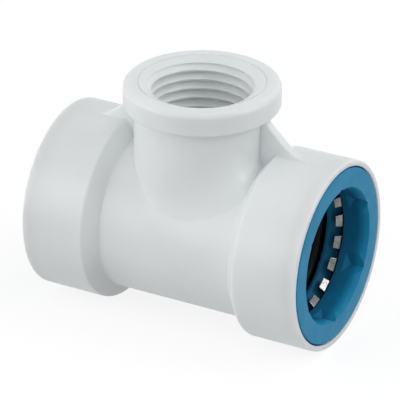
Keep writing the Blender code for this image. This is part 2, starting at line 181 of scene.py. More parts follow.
class TeeRingSizes(bpy.types.PropertyGroup):
    """Sizes of the rings in a socket."""

    clearance: length("Clearance", "Room between neighbouring pieces", 0.3 * MM)
    travel: length("Travel", "How far the release collar slides in", 1.0 * MM)
    collar_radius: length("Collar radius", "Outside of the release collar's flange", 16.65 * MM)
    collar_thickness: length("Collar thickness", "Thickness of the collar's flange", 1.8 * MM)
    collar_edge: length("Collar edge", "Rounding of the collar's outer edge", 0.22 * MM)
    collar_soft: length("Collar softening", "Bevel of the collar's other edges", 0.09 * MM)
    collar_bore: length("Collar bore", "Radius of the collar's bore", 12.45 * MM)
    lead_in_width: length("Lead-in width", "Width of the slope from the face to the bore", 0.55 * MM)
    lead_in_depth: length("Lead-in depth", "Depth of that slope", 1.15 * MM)
    sleeve_radius: length("Sleeve radius", "Outside of the collar's sleeve", 14.2 * MM)
    nose_length: length("Nose length", "Coned end of the sleeve", 1.2 * MM)
    nose_wall: length("Nose wall", "Wall at the end of the nose", 0.4 * MM)
    bead_depth: length("Bead depth", "Top of the snap bead below the collar's face", 0.85 * MM)
    bead_width: length("Bead width", "Width of the snap bead", 0.5 * MM)
    notch_count: IntProperty(name="Notches", description="V-notches in the collar", default=6, min=1)
    notch_depth: length("Notch depth", "Floor of a notch at its apex, below the collar's face", 2.6 * MM)
    notch_slope: level("Notch slope", "Drop of a notch's floor for each unit towards the bore", 1.4)
    notch_reach: length("Notch reach", "From the bore out to the apex of a notch", 0.85 * MM)
    notch_width: length("Notch half width", "Half the width of a notch at the bore", 2.0 * MM)
    notch_phase: angle("Notch phase", "Turn of the notches about the run", -3.8)
    tooth_count: IntProperty(name="Teeth", description="Teeth of the grab ring", default=18, min=3)
    tooth_tip: length("Tooth tip", "Radius of the circle of tooth tips", 11.7 * MM)
    tooth_bend: length("Tooth bend", "Radius of the circle where the teeth are bent", 12.65 * MM)
    tooth_lean: angle("Tooth lean", "How far the tooth ends are bent", 45)
    tooth_slot: length("Tooth slot", "Width of the slots between teeth", 1.9 * MM)
    tooth_phase: angle("Tooth phase", "Turn of the teeth about the run", 11.6)
    grab_thickness: length("Grab ring thickness", "Sheet that the grab ring is stamped from", 0.5 * MM)
    grab_rim: length("Grab ring rim", "Width of the grab ring's flat rim", 1.1 * MM)
    grab_soft: length("Grab ring softening", "Bevel of the grab ring's edges", 0.06 * MM)
    spacer_bore: length("Spacer bore", "Radius of the spacer ring's bore", 12.25 * MM)
    spacer_land: length("Spacer land", "Straight part of the spacer's bore", 0.6 * MM)
    spacer_soft: length("Spacer softening", "Bevel of the spacer ring's edges", 0.15 * MM)
    clip_inner: length("Clip inner radius", "Inside of the retaining clip", 14.5 * MM)
    clip_gap: length("Clip gap", "Width of the clip's gap", 5.0 * MM)
    clip_corner: length("Clip corner", "Rounding of the clip's section", 0.12 * MM)


class TeeFinishes(bpy.types.PropertyGroup):
    """Colours of the finishes."""

    white: colour("White", "Moulded body", (0.84, 0.865, 0.865))
    white_shade: colour("White shade", "Cloudy patches in the moulded body", (0.8, 0.83, 0.835))
    blue: colour("Blue", "Release collars and spacers", (0.012, 0.255, 0.47))
    # This dark blue gives the rings' own flow marks, and is also painted shade on the deep parts of the
    # blue rings, standing in for the shade inside the bore
    blue_flow_and_painted_shade: colour("Blue shade", "Flow marks and deep parts of the blue rings", (0.005, 0.07, 0.165))
    steel: colour("Steel", "Grab rings", (0.27, 0.27, 0.267))
    steel_shade: colour("Steel shade", "Rolling marks in the grab rings", (0.12, 0.12, 0.12))
    spring_steel: colour("Spring steel", "Retaining clips", (0.42, 0.42, 0.43))
    rubber: colour("Rubber", "O-rings", (0.003, 0.0035, 0.004))
    rubber_bloom: colour("Rubber bloom", "Grease and bloom on the O-rings", (0.007, 0.0075, 0.008))


class TeeStudio(bpy.types.PropertyGroup):
    """Camera and light of the stage."""

    azimuth: angle("Azimuth", "Direction of the camera round the tee", 28.661)
    elevation: angle("Elevation", "Height of the camera over the tee", 26.822)
    roll: angle("Roll", "Turn of the camera about its own axis", 0.041)
    distance: length("Distance", "From the camera to the crossing of the axes", 586.374 * MM)
    aim_right: offset("Aim right", "Tee's place right of the picture's centre", 0.391 * MM)
    aim_up: offset("Aim up", "Tee's place above the picture's centre", -4.138 * MM)
    lens: level("Lens", "Focal length in millimetres on a 36 mm sensor", 282.55)
    ambient: level("Ambient", "Light from all round", 0.479)
    key: level("Key", "Light from the camera's left, low down", 0.175)
    left: level("Left", "Light from the far left, low down", 0.297)
    top: level("Top", "Light from overhead, a little to the right", 0.12)
    side: level("Side", "Light from the right, which one tooth mirrors", 0.17)
    rim: level("Rim", "Light from the right, behind the tee", 0.075)
    front: level("Front", "Light from the front, high up", 0.08)
    floor_grey: level("Floor", "Share of light that the floor gives back", 0.64)


def straight(points, spacing):
    """Points of a chain of lines, with every line cut into equal parts no longer than the spacing."""
    pieces = []
    for first, last in zip(points[:-1], points[1:]):
        count = max(1, math.ceil(math.dist(first, last) / spacing))
        share = np.arange(count)[:, None] / count
        pieces.append(np.asarray(first) * (1 - share) + np.asarray(last) * share)
    return np.vstack(pieces + [np.asarray(points[-1])[None]])


def arc(centre, radius, start, end, steps):
    """Points of an arc: the centre plus the radius times cosine and sine, angles in degrees."""
    turn = np.radians(np.linspace(start, end, steps + 1))
    return np.column_stack([centre[0] + radius * np.cos(turn), centre[1] + radius * np.sin(turn)])


def grid_faces(rows, columns, row_loop=False, column_loop=True):
    """Quads between neighbouring points of a grid, which may close on itself either way."""
    row, column = np.meshgrid(
        np.arange(rows - (not row_loop)), np.arange(columns - (not column_loop)), indexing="ij")
    next_row = (row + 1) % rows
    next_column = (column + 1) % columns
    corners = [(row, column), (row, next_column), (next_row, next_column), (next_row, column)]
    return np.stack([r * columns + c for r, c in corners], axis=-1).reshape(-1, 4)


def new_piece(name, points, faces):
    """Make an object at the origin from points and faces, weld its seams and turn it outwards."""
    mesh = bpy.data.meshes.new(name)
    mesh.from_pydata(np.asarray(points).reshape(-1, 3), [], faces)
    bm = bmesh.new()
    bm.from_mesh(mesh)
    bmesh.ops.remove_doubles(bm, verts=bm.verts, dist=WELD)
    bmesh.ops.dissolve_degenerate(bm, edges=bm.edges, dist=WELD / 2)
    bmesh.ops.recalc_face_normals(bm, faces=bm.faces)
    bm.to_mesh(mesh)
    bm.free()
    obj = bpy.data.objects.new(name, mesh)
    bpy.context.scene.collection.objects.link(obj)
    return obj


def revolve(profile, steps):
    """Carry a profile of radius and height round the Z axis: x is radius times cosine, y times sine."""
    turn = 2 * np.pi * np.arange(steps) / steps
    radius, height = np.asarray(profile).T
    return np.stack([
        radius[:, None] * np.cos(turn), radius[:, None] * np.sin(turn),
        np.broadcast_to(height[:, None], (len(radius), steps))], axis=-1)


def along_run(points):
    """Turn points made about Z so that their height runs along the run's axis."""
    return np.stack([points[..., 2], points[..., 1], AXIS_HEIGHT - points[..., 0]], axis=-1)


def in_socket(points, side):
    """Place points made about Z, with heights above a socket's rim, in the left or right socket."""
    way = SIDES[side]
    return np.stack([
        way * (HALF_RUN + points[..., 2]), points[..., 1], AXIS_HEIGHT - way * points[..., 0]], axis=-1)


def above_run(points):
    """Lift points made about the branch's axis, with heights above the run's axis, to their place."""
    return points + np.array([0.0, 0.0, AXIS_HEIGHT])


def turned_piece(name, profile, steps, place):
    """Make a turned solid: a profile of radius and height whose ends lie on the axis."""
    points = place(revolve(profile, steps))
    return new_piece(name, points, grid_faces(len(profile), steps).tolist())


def ring_piece(name, profile, side):
    """Make a ring in the left or right socket from a closed profile of radius and height."""
    points = in_socket(revolve(profile, RING_STEPS), side)
    return new_piece(name, points, grid_faces(len(profile), RING_STEPS, row_loop=True).tolist())


def evaluated(obj):
    """Replace an object's mesh with what its modifiers make of it."""
    bpy.context.view_layer.update()
    result = obj.evaluated_get(bpy.context.evaluated_depsgraph_get())
    obj.data = bpy.data.meshes.new_from_object(result)
    obj.modifiers.clear()
    return obj


def combine(obj, others, operation):
    """Join other solids to a solid, or cut them out of it, and remove them."""
    for other in others:
        boolean = obj.modifiers.new(other.name, "BOOLEAN")
        boolean.operation = operation
        boolean.solver = "MANIFOLD"
        boolean.object = other
    evaluated(obj)
    for other in others:
        bpy.data.objects.remove(other)


def shade(obj, sharp):
    """Shade an object smooth up to the sharp angle, with large faces kept flat."""
    obj.data.shade_smooth()
    obj.data.set_sharp_from_angle(angle=math.radians(sharp))
    weighted = obj.modifiers.new("even shading", "WEIGHTED_NORMAL")
    weighted.keep_sharp = True
    weighted.weight = 50
    return evaluated(obj)


def soften(obj, width, limit):
    """Round the edges of an object that are sharper than the limit, in degrees."""
    bevel = obj.modifiers.new("soft edges", "BEVEL")
    bevel.width = width
    bevel.segments = 2
    bevel.limit_method = "ANGLE"
    bevel.angle_limit = math.radians(limit)
    bevel.use_clamp_overlap = True
    return evaluated(obj)


def hand_over(obj, finish, body, node):
    """Give a piece its finish, and let it ride on its body, if any, in place of its plain solid."""
    obj.data.materials.clear()
    obj.data.materials.append(finish)
    if body:
        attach(obj, body)
    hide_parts(node)


class Field:
    """A value in a node tree, whose arithmetic adds Math nodes."""

    def __init__(self, owner, socket):
        self.owner = owner
        self.socket = socket

    def math(self, operation, first, second=0.0):
        """Add a Math node."""
        return self.owner.node("ShaderNodeMath", {"operation": operation}, {0: first, 1: second})

    def __add__(self, other):
        return self.math("ADD", self, other)

    def __sub__(self, other):
        return self.math("SUBTRACT", self, other)

    def __rsub__(self, other):
        return self.math("SUBTRACT", other, self)

    def __mul__(self, other):
        return self.math("MULTIPLY", self, other)

    def __abs__(self):
        return self.math("ABSOLUTE", self)

    __radd__ = __add__
    __rmul__ = __mul__


class Nodes:
    """A node tree that grows by whole nodes, each with its settings and inputs."""

    def __init__(self, tree):
        self.tree = tree

    def node(self, kind, settings=None, inputs=None, output=0):
        """Add a node with its settings and its inputs, and return one of its outputs."""
        node = self.tree.nodes.new(kind)
        for key, value in (settings or {}).items():
            setattr(node, key, value)
        for key, value in (inputs or {}).items():
            self.feed(node.inputs[key], value)
        return Field(self, node.outputs[output])

    def feed(self, socket, value):
        """Link a field to a socket, or set the socket's own value."""
        if isinstance(value, Field):
            self.tree.links.new(value.socket, socket)
        else:
            socket.default_value = value


class Finish(Nodes):
    """A procedural material: a Principled shader and what feeds it."""

    def __init__(self, name):
        self.material = bpy.data.materials.new(name)
        self.material.use_nodes = True
        super().__init__(self.material.node_tree)
        self.shader = self.tree.nodes["Principled BSDF"]
        self.place = self.node("ShaderNodeTexCoord", output="Object")

    def set(self, **inputs):
        """Feed the shader's sockets, named with underscores for spaces."""
        for key, value in inputs.items():
            self.feed(self.shader.inputs[key.replace("_", " ")], value)
        return self.material

    def depth(self):
        """How deep a place lies below the nearer socket's rim."""
        run = self.node("ShaderNodeSeparateXYZ", None, {0: self.place}, output="X")
        return HALF_RUN - abs(run)

    def noise(self, size, detail=2.0, stretch=(1.0, 1.0, 1.0)):
        """Cloudy noise with features of about the given size, in metres, stretched along the axes."""
        scale = tuple(1.0 / (size * part) for part in stretch)
        spot = self.node("ShaderNodeMapping", None, {"Vector": self.place, "Scale": scale})
        return self.node("ShaderNodeTexNoise", None, {"Vector": spot, "Scale": 1.0, "Detail": detail})

    def ramp(self, value, low, high):
        """A smooth step of a field from 0 at low to 1 at high."""
        return self.node(
            "ShaderNodeMapRange", {"interpolation_type": "SMOOTHSTEP"},
            {"Value": value, "From Min": low, "From Max": high})

    def mix(self, factor, first, second):
        """Blend two colours."""
        sockets = {0: factor, 6: (*first, 1.0), 7: (*second, 1.0)}
        return self.node("ShaderNodeMix", {"data_type": "RGBA"}, sockets, output=2)

    def bump(self, height, strength, reach):
        """A normal that follows a height field."""
        sockets = {"Height": height, "Strength": strength, "Distance": reach}
        return self.node("ShaderNodeBump", None, sockets)


def white_moulding(colours):
    """Satin white moulded plastic: faint clouds, a fine grain and slightly polished rims."""
    finish = Finish("white_moulding")
    clouds = finish.noise(14 * MM, 3.0)
    grain = finish.noise(0.35 * MM, 2.0)
    handling = finish.noise(4 * MM, 4.0)
    rim = finish.ramp(finish.depth(), 1.2 * MM, 0.0)
    tone = finish.ramp(clouds, 0.35, 0.7)
    return finish.set(
        Base_Color=finish.mix(tone, colours.white, colours.white_shade),
        Roughness=0.28 + handling * 0.08 - rim * 0.02,
        Normal=finish.bump(grain * 0.6 + handling * 0.4, 0.12, 0.05 * MM),
        Subsurface_Weight=0.8,
        Subsurface_Radius=(1.0, 1.0, 1.0),
        Subsurface_Scale=1.2 * MM,
        IOR=1.52)


def blue_moulding(colours):
    """Satin blue moulded plastic: faint flow marks, and painted shade darkening all below the socket's
    face.
    """
    finish = Finish("blue_moulding")
    flow = finish.noise(3.0 * MM, 3.0, (2.0, 1.0, 1.0))
    grain = finish.noise(0.3 * MM, 2.0)
    # Painted shade: the blue darkens from 0.8 mm to 2.4 mm below the rim, standing in for the shade in
    # the collar's bore and on the spacer; the tone mixes this with the real flow marks
    painted_bore_shade = finish.ramp(finish.depth(), 0.8 * MM, 2.4 * MM)
    tone = finish.ramp(flow, 0.35, 0.7) * 0.12 + painted_bore_shade * 0.55
    return finish.set(
        Base_Color=finish.mix(tone, colours.blue, colours.blue_flow_and_painted_shade),
        Roughness=0.3 + flow * 0.18,
        Normal=finish.bump(grain, 0.1, 0.04 * MM),
        Specular_IOR_Level=0.11)


def stamped_steel(name, bright, dark):
    """Stamped steel: rolling marks across the sheet and a slightly uneven shine."""
    finish = Finish(name)
    rolled = finish.noise(0.25 * MM, 3.0, (6.0, 1.0, 1.0))
    patches = finish.noise(2.5 * MM, 2.0)
    return finish.set(
        Base_Color=finish.mix(finish.ramp(rolled * 0.6 + patches * 0.4, 0.35, 0.65), bright, dark),
        Metallic=1.0,
        Roughness=0.15 + patches * 0.14,
        Normal=finish.bump(rolled, 0.15, 0.03 * MM))


def black_rubber(colours):
    """Greased black rubber."""
    finish = Finish("black_rubber")
    grease = finish.noise(1.6 * MM, 4.0)
    return finish.set(
        Base_Color=finish.mix(finish.ramp(grease, 0.4, 0.7), colours.rubber, colours.rubber_bloom),
        Roughness=0.2 + grease * 0.25,
        Normal=finish.bump(grease, 0.08, 0.05 * MM),
        Specular_IOR_Level=0.09)


def finishes():
    """Make each finish once, and return them by their names."""
    made = bpy.context.scene.get("tee_finish_names")
    if made is None:
        colours = bpy.context.scene.tee_finishes
        materials = [
            white_moulding(colours),
            blue_moulding(colours),
            stamped_steel("stainless_steel", colours.steel, colours.steel_shade),
            stamped_steel("spring_steel", colours.spring_steel, colours.steel_shade),
            black_rubber(colours),
        ]
        made = [material.name for material in materials]
        bpy.context.scene["tee_finish_names"] = made
    return {name.split(".")[0]: bpy.data.materials[name] for name in made}


def run_profile(sizes, rings):
    """Outside of the run: a rounded rim, a straight socket, a coned shoulder, a hollow, the barrel."""
    radius = SOCKET_RADIUS
    step = radius - sizes.barrel_radius
    lip = rings.collar_radius + rings.clearance + sizes.lip_round
    lip_arc = arc((lip, HALF_RUN - sizes.lip_round), sizes.lip_round, 170, 90, 4)
    rim_centre = (radius - sizes.rim_round, HALF_RUN - sizes.rim_round)
    shoulder = HALF_RUN - sizes.socket_length
    lean = math.degrees(sizes.shoulder_slope)
    rounds = sizes.shoulder_round + sizes.shoulder_fillet
    cone = (step - rounds * (1 - math.cos(sizes.shoulder_slope))) / math.tan(sizes.shoulder_slope)
    foot = shoulder - rounds * math.sin(sizes.shoulder_slope) - cone
    hollow = (sizes.barrel_radius + sizes.shoulder_fillet, foot)
    half = np.vstack([
        [(0.0, lip_arc[0][1])],
        lip_arc,
        arc(rim_centre, sizes.rim_round, 90, 0, 5),
        straight([(radius, HALF_RUN - sizes.rim_round), (radius, shoulder)], RUN_SPACING)[1:-1],
        arc((radius - sizes.shoulder_round, shoulder), sizes.shoulder_round, 0, -lean, 6),
        arc(hollow, sizes.shoulder_fillet, 180 - lean, 180, 5),
        straight([(sizes.barrel_radius, hollow[1]), (sizes.barrel_radius, 0.0)], RUN_SPACING)[1:],
    ])
    return np.vstack([half, half[-2::-1] * (1.0, -1.0)])


def run_cavity_profile(sizes, rings):
    """Inside of the run, from the lip to the waterway: each ring's size and the clearance round it."""
    gap = rings.clearance
    lip = rings.collar_radius + gap
    seat = GRAB_SPAN[2] + gap
    pocket = rings.collar_thickness + rings.travel + gap
    groove_end = rings.bead_depth + rings.bead_width + rings.travel + gap
    steps = [
        (lip, -2 * OVERLAP, rings.bead_depth - gap),
        (COLLAR_SPAN[2] + gap, rings.bead_depth - gap, groove_end),
        (lip, groove_end, pocket),
        (seat, pocket, CLIP_SPAN[0] - gap),
        (CLIP_SPAN[2] + gap, CLIP_SPAN[0] - gap, CLIP_SPAN[1] + gap),
        (seat, CLIP_SPAN[1] + gap, SPACER_SPAN[1] + gap),
        (O_RING_SPAN[2] + gap, SPACER_SPAN[1] + gap, O_RING_SPAN[1] + gap),
        (sizes.pipe_socket, O_RING_SPAN[1] + gap, sizes.pipe_stop),
    ]
    half = [(0.0, HALF_RUN + 2 * OVERLAP)]
    for radius, top, end in steps:
        half += [(radius, HALF_RUN - top), (radius, HALF_RUN - end)]
    half += [(sizes.waterway, HALF_RUN - sizes.pipe_stop)]
    return np.vstack([half, np.array(half[::-1]) * (1.0, -1.0)])


def branch_points(sizes, steps):
    """Outside of the branch on a grid of turn and height.

    The countersink, flange and neck are one profile at every turn. The flare is an arc that leaves the
    neck upright and dips a little below where it would touch the barrel: its centre lies as high as the
    barrel's height plus the root of the arc's radius squared less the distance to the centre squared, at
    the place where that sum is greatest. The arc's radius grows from the sides to the front with the
    fifth power of the sine's size, and its widest place is turned a little about the branch.
    """
    top = BRANCH_TOP
    under = top - sizes.flange_thickness
    rim = sizes.flange_radius - sizes.flange_round
    mouth = sizes.mouth_radius
    groove = sizes.mouth_groove
    land = (mouth - groove, top - 0.4 * groove)
    groove_floor = top - 1.1 * groove
    dimple = sizes.branch_bore - OVERLAP / 2
    dimple_height = land[1] - sizes.mouth_slope * (land[0] - dimple)
    under_edge = (sizes.flange_radius - sizes.flange_under, under + sizes.flange_under)
    fillet = (sizes.neck_radius + sizes.neck_fillet, under - sizes.neck_fillet)
    profile = np.vstack([
        [(0.0, dimple_height)],
        straight([(dimple, dimple_height), land], BRANCH_SPACING),
        [(land[0], groove_floor), (mouth, groove_floor), (mouth, top - 0.3 * groove)],
        straight([(mouth + 0.3 * groove, top), (rim, top)], BRANCH_SPACING)[:-1],
        arc((rim, top - sizes.flange_round), sizes.flange_round, 90, 0, 7),
        arc(under_edge, sizes.flange_under, 0, -90, 7),
        arc(fillet, sizes.neck_fillet, 90, 180, 6),
    ])
    upper = revolve(profile, steps)
    turn = 2 * np.pi * np.arange(steps) / steps
    frontness = np.abs(np.sin(turn - sizes.foot_turn)) ** 5
    bend = sizes.foot_side + (sizes.foot_front - sizes.foot_side) * frontness
    away = sizes.neck_radius + bend * np.linspace(0.0, 1.0, 400)[:, None]
    barrel = sizes.barrel_radius ** 2 - (away * np.sin(turn)) ** 2
    arch = np.sqrt(np.maximum(bend ** 2 - (away - sizes.neck_radius - bend) ** 2, 0.0))
    lift = np.where(barrel > 0.0, np.sqrt(np.maximum(barrel, 0.0)) + arch, 0.0)
    touch = away[np.argmax(lift, axis=0), np.arange(steps)]
    sweep = np.arccos((sizes.neck_radius + bend - touch) / bend)
    centre_height = lift.max(axis=0) - sizes.foot_sink
    neck_share = np.linspace(0.0, 1.0, 10)[1:, None]
    neck_height = fillet[1] * (1 - neck_share) + centre_height * neck_share
    around = sweep * np.linspace(0.0, 1.0, 15)[1:, None]
    foot_radius = sizes.neck_radius + bend * (1 - np.cos(around))
    foot_height = centre_height - bend * np.sin(around)
    ends = np.array([sizes.neck_radius, 0.0])[:, None] * np.ones(steps)
    end_heights = np.vstack([foot_height[-1] - OVERLAP, np.zeros(steps)])
    radius = np.vstack([np.full((len(neck_share), steps), sizes.neck_radius), foot_radius, ends])
    height = np.vstack([neck_height, foot_height, end_heights])
    lower = np.stack([radius * np.cos(turn), radius * np.sin(turn), height], axis=-1)
    return np.concatenate([upper, lower])


def rib_points(sizes, rings):
    """Both gusset ribs as one wall along the run, on a grid of stations and section points.

    The wall's top falls at 45 degrees from the flange and levels out on the socket: half of the fall
    left to the landing plus half of the root of its square and the merge's square, less a little. At
    each station the section leaves the run's surface along a quarter circle, stands upright and turns
    over a rounded edge, and then the mirror image of that follows.
    """
    under = BRANCH_TOP - sizes.flange_thickness
    end = sizes.rib_landing + sizes.rib_run_out
    station = np.linspace(-end, end, 145)[:, None]
    fall = sizes.rib_landing - np.abs(station)
    fall = (fall + np.sqrt(fall ** 2 + sizes.rib_merge ** 2)) / 2 - sizes.rib_sink
    top = np.minimum(SOCKET_RADIUS + fall, under + OVERLAP)
    outside = run_profile(sizes, rings)
    outside = outside[(outside[:, 1] >= 0.0) & (outside[:, 1] < HALF_RUN - sizes.rim_round)]
    ground = np.interp(np.abs(station), outside[::-1, 1], outside[::-1, 0])
    ground = np.minimum(ground, top - sizes.rib_least)
    fillet = np.minimum(0.65 * (top - ground), sizes.rib_fillet)
    edge = np.minimum(0.34 * (top - ground), sizes.rib_round)
    half = sizes.rib_thickness / 2
    quarter = np.radians(np.linspace(0, 90, 8))
    base_across = half + fillet * (1 - np.sin(quarter))
    base_height = np.sqrt(ground ** 2 - base_across ** 2) + fillet * (1 - np.cos(quarter))
    top_across = half - edge * (1 - np.cos(quarter))
    top_height = top - edge * (1 - np.sin(quarter))
    across = np.hstack([base_across[:, :1], base_across, top_across])
    height = np.hstack([base_height[:, :1] - OVERLAP, base_height, top_height])
    across = np.hstack([across, -across[:, ::-1]])
    height = np.hstack([height, height[:, ::-1]])
    return np.stack([np.broadcast_to(station, across.shape), across, height], axis=-1)


def thread_solid(sizes, columns=144, rows_per_turn=20):
    """Space of the branch thread, on rows that climb with the thread.

    A row's height is its place in the pitch plus the share of a turn, held between the thread's foot and
    just above the mouth. The radius is the crest plus the thread's height times a rounded wave of the
    place in the pitch, less the taper. Each row meets the row one pitch higher after a full turn.
    """
    pitch = sizes.thread_pitch
    top = BRANCH_TOP
    foot = top - sizes.thread_length
    ceiling = top + 0.4 * pitch
    turns = math.ceil((ceiling - foot) / pitch) + 2
    rows = turns * rows_per_turn
    row, column = np.meshgrid(np.arange(rows), np.arange(columns), indexing="ij")
    height = foot - pitch + pitch * (row / rows_per_turn + column / columns)
    height = np.clip(height, foot, ceiling)
    place = np.mod((height - foot) / pitch - column / columns - sizes.thread_start, 1.0)
    steepness = 1.12
    wave = np.clip(steepness * (1 - 4 * np.abs(place - 0.5)), -1, 1)
    groove = 0.5 + 0.25 * wave + 0.25 * np.sin(np.pi / 2 * wave)
    radius = sizes.thread_crest + sizes.thread_height * groove + (height - top) * sizes.thread_taper
    turn = 2 * np.pi * column / columns
    points = np.stack([radius * np.cos(turn), radius * np.sin(turn), height], axis=-1)
    wall = grid_faces(rows, columns, column_loop=False)
    low = np.arange(rows)
    row_end = low * columns + columns - 1
    row_above = np.minimum(low + rows_per_turn, rows - 1) * columns
    seam = np.stack([row_end[:-1], row_above[:-1], row_above[1:], row_end[1:]], axis=-1)
    poles = np.array([(0.0, 0.0, foot), (0.0, 0.0, ceiling)])
    ring = np.arange(columns)
    last = (rows - 1) * columns
    next_in_ring = np.roll(ring, -1)
    floor = np.stack([ring, next_in_ring, np.full(columns, rows * columns)], axis=-1)
    lid = np.stack([last + ring, last + next_in_ring, np.full(columns, rows * columns + 1)], axis=-1)
    faces = wall.tolist() + seam.tolist() + floor.tolist() + lid.tolist()
    return new_piece("thread_space", above_run(np.vstack([points.reshape(-1, 3), poles])), faces)


class TEE_OT_moulded_body(bpy.types.Operator):
    """Build the white body: run, branch and ribs in one, hollowed by the sockets and the thread"""

    bl_idname = "tee.moulded_body"
    bl_label = "Moulded body"

    def execute(self, context):
        sizes = context.scene.tee_body
        rings = context.scene.tee_rings
        body = turned_piece("tee_moulding", run_profile(sizes, rings), BODY_STEPS, along_run)
        branch_grid = above_run(branch_points(sizes, BODY_STEPS))
        branch = new_piece("branch", branch_grid, grid_faces(*branch_grid.shape[:2]).tolist())
        rib_grid = above_run(rib_points(sizes, rings))
        count = rib_grid.shape[1]
        last = (len(rib_grid) - 1) * count
        sides = [list(range(count)), list(range(last, last + count))]
        ribs = new_piece("ribs", rib_grid, grid_faces(len(rib_grid), count).tolist() + sides)
        combine(body, [branch, ribs], "UNION")
        cavity = turned_piece("cavity", run_cavity_profile(sizes, rings), BODY_STEPS, along_run)
        radius = sizes.branch_bore
        bore_profile = [(0.0, BRANCH_TOP), (radius, BRANCH_TOP), (radius, 0.0), (0.0, 0.0)]
        bore = turned_piece("bore", bore_profile, BODY_STEPS, above_run)
        combine(body, [cavity, bore, thread_solid(sizes)], "DIFFERENCE")
        shade(body, BODY_SHARP)
        hand_over(body, finishes()["white_moulding"], "body", "tee_body")
        return {"FINISHED"}


def collar_points(rings):
    """Release collar on a grid of turn and profile.

    Within a notch the inner wall lies where a ray at that turn meets the V: the apex radius over the
    cosine plus the V's slope times the sine. Elsewhere it is the bore. The lead-in ends on that wall,
    and the notch's floor drops from the wall to the bore.
    """
    count = rings.notch_count
    bore = rings.collar_bore
    apex = bore + rings.notch_reach
    face = bore + rings.lead_in_width
    edge = math.asin(rings.notch_width / bore)
    slope = (apex - bore * math.cos(edge)) / rings.notch_width
    half_pitch = math.pi / count
    notch = np.linspace(-edge, edge, 13)
    plain = np.linspace(edge, 2 * half_pitch - edge, 25)[1:-1]
    turn_in_notch = np.tile(np.concatenate([notch, plain]), count)
    wall_in_notch = apex / (np.cos(notch) + slope * np.abs(np.sin(notch)))
    wall = np.tile(np.concatenate([wall_in_notch, np.full(len(plain), bore)]), count)
    wall = np.maximum(wall, bore)
    turn = turn_in_notch + np.repeat(np.arange(count) * 2 * half_pitch, len(notch) + len(plain))
    turn = turn + rings.notch_phase
    outer = rings.collar_radius
    bead = COLLAR_SPAN[2]
    end = COLLAR_SPAN[1]
    face_edge = arc((outer - rings.collar_edge, -rings.collar_edge), rings.collar_edge, 90, 0, 4)
    bead_top = -rings.bead_depth
    fixed = np.vstack([
        [((apex + outer) / 2, 0.0)],
        face_edge,
        [(outer, bead_top), (bead, bead_top)],
        [(bead, bead_top - rings.bead_width / 2), (outer, bead_top - rings.bead_width)],
        [(outer, -rings.collar_thickness), (rings.sleeve_radius, -rings.collar_thickness)],
        [(rings.sleeve_radius, rings.nose_length - end), (bore + rings.nose_wall, -end), (bore, -end)],
        [(bore, -rings.notch_depth - rings.notch_slope * rings.notch_reach)],
    ])
    columns = len(turn)
    radius = np.vstack([np.repeat(fixed[:, :1], columns, axis=1), wall, wall, np.maximum(wall, face)])
    floor = -rings.notch_depth - rings.notch_slope * (apex - wall)
    lead_in = -rings.lead_in_depth / rings.lead_in_width * np.maximum(face - wall, 0.0)
    height = np.vstack([np.repeat(fixed[:, 1:], columns, axis=1), floor, lead_in, np.zeros(columns)])
    return np.stack([radius * np.cos(turn), radius * np.sin(turn), height], axis=-1)


class TEE_OT_release_collars(bpy.types.Operator):
    """Build the blue release collars with their V-notches"""

    bl_idname = "tee.release_collars"
    bl_label = "Release collars"

    def execute(self, context):
        rings = context.scene.tee_rings
        points = collar_points(rings)
        faces = grid_faces(*points.shape[:2], row_loop=True).tolist()
        for side in SIDES:
            collar = new_piece(f"collar_{side}_moulding", in_socket(points, side), faces)
            soften(collar, rings.collar_soft, limit=28)
            shade(collar, RING_SHARP)
            hand_over(collar, finishes()["blue_moulding"], f"collar_{side}",
                      f"release_collar_{side}")
        return {"FINISHED"}


def tooth_points(rings, turn, spread):
    """Middle of one tooth's sheet on a grid of rows from root to tip and columns across.

    At each radius the tooth spans its pitch less the angle whose sine is half a slot over the radius.
    Its depth is that of the flat rim, plus the lean's tangent times the way inwards from the bend.
    """
    half_sheet = rings.grab_thickness / 2
    root = GRAB_SPAN[2] - rings.grab_rim + TOOTH_OVERLAP
    bend = rings.tooth_bend + half_sheet * math.tan(rings.tooth_lean / 2)
    tip = rings.tooth_tip + half_sheet * math.sin(rings.tooth_lean)
    radius = np.concatenate([np.linspace(root, bend, 10), np.linspace(bend, tip, 8)[1:]])[:, None]
    depth = GRAB_SPAN[0] + half_sheet + np.maximum(bend - radius, 0.0) * math.tan(rings.tooth_lean)
    half_turn = math.pi / rings.tooth_count - np.arcsin(rings.tooth_slot / 2 / radius)
    angle_across = turn + half_turn * spread
    return np.stack([
        radius * np.cos(angle_across), radius * np.sin(angle_across),
        np.broadcast_to(-depth, angle_across.shape)], axis=-1)


